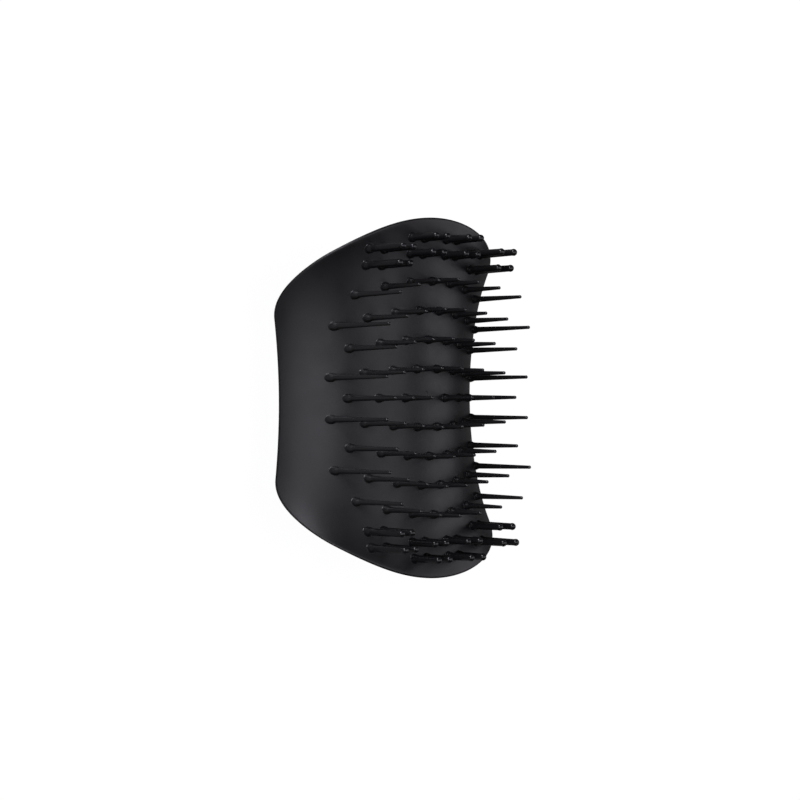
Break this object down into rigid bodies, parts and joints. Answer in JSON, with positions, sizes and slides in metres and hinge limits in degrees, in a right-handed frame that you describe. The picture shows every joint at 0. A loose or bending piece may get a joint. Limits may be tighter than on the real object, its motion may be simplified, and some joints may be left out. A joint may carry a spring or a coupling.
{
  "type": "scalp massager brush",
  "caption": "Palm-held scalp massager brush: a closed saddle-shaped shell with staggered rows of thin flexible teeth and clusters of thick ball-tipped teeth at both ends.",
  "frame": {"origin": "middle of the small resting flat on the grip, which is the middle of the brush seen from above", "axes": "+Z is the way the teeth point, +Y runs along the brush, +X across it"},
  "size_m": [0.0668, 0.0894, 0.0443],
  "materials": {
    "face": "satin charcoal moulded plastic, fine spark-eroded grain",
    "grip": "satin charcoal moulded plastic, soft-touch grain",
    "scalp_teeth": "charcoal flexible plastic, lightly polished with rounded tips",
    "massage_teeth": "black polished plastic with glossy ball tips"
  },
  "bodies": {
    "root": {"face_shell": "face", "grip_cover": "grip", "scalp_teeth_row_1": "scalp_teeth", "scalp_teeth_row_2": "scalp_teeth", "scalp_teeth_row_3": "scalp_teeth", "scalp_teeth_row_4": "scalp_teeth", "scalp_teeth_row_5": "scalp_teeth", "scalp_teeth_row_6": "scalp_teeth", "scalp_teeth_row_7": "scalp_teeth", "scalp_teeth_row_8": "scalp_teeth", "scalp_teeth_row_9": "scalp_teeth", "massage_teeth_inner_front_right": "massage_teeth", "massage_teeth_inner_front_left": "massage_teeth", "massage_teeth_inner_rear_right": "massage_teeth", "massage_teeth_inner_rear_left": "massage_teeth", "massage_teeth_outer_front_right": "massage_teeth", "massage_teeth_outer_front_left": "massage_teeth", "massage_teeth_outer_rear_right": "massage_teeth", "massage_teeth_outer_rear_left": "massage_teeth"}
  },
  "joints": []
}
